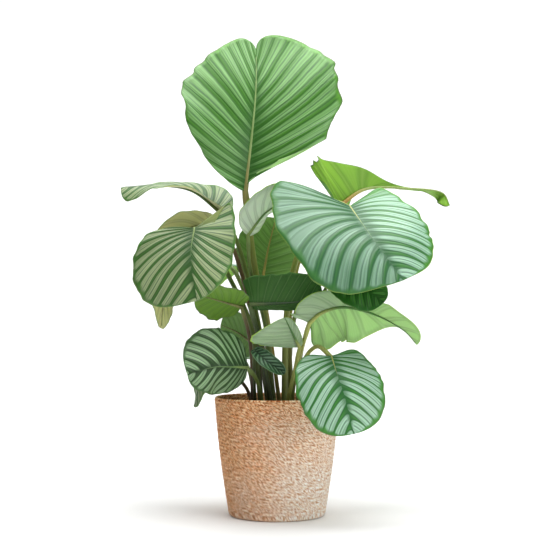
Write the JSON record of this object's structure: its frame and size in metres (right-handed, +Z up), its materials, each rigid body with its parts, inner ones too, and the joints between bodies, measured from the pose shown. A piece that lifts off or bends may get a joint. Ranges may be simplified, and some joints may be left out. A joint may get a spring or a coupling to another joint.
{
  "type": "potted calathea",
  "caption": "Round-leaved striped prayer plant in a hidden nursery pot of soil, standing in a tapered woven seagrass basket.",
  "frame": {"origin": "centre of the basket's flat underside", "axes": "+Z up along the basket's axis, -Y towards the side seen first, +X to that viewer's right"},
  "size_m": [0.5443, 0.3808, 0.775],
  "materials": {
    "seagrass": "rough twisted cord",
    "pot_plastic": "matt",
    "soil": "loose, matt",
    "leaf": "soft satin"
  },
  "bodies": {
    "root": {"basket": "seagrass", "inner_pot": "pot_plastic", "soil": "soil", "leaf_top": "leaf", "leaf_upper_left": "leaf", "leaf_upper_right": "leaf", "leaf_left": "leaf", "leaf_behind_left": "leaf", "leaf_right": "leaf", "leaf_small_folded": "leaf", "leaf_middle_back": "leaf", "leaf_across": "leaf", "leaf_under_right": "leaf", "leaf_low_right": "leaf", "leaf_pale": "leaf", "leaf_young": "leaf", "leaf_front_right": "leaf", "leaf_front_left": "leaf", "leaf_left_back": "leaf", "leaf_olive": "leaf", "leaf_tip_left": "leaf", "leaf_back_high": "leaf", "leaf_back_left": "leaf", "leaf_back_low_left": "leaf", "leaf_back_low_right": "leaf"}
  },
  "joints": []
}
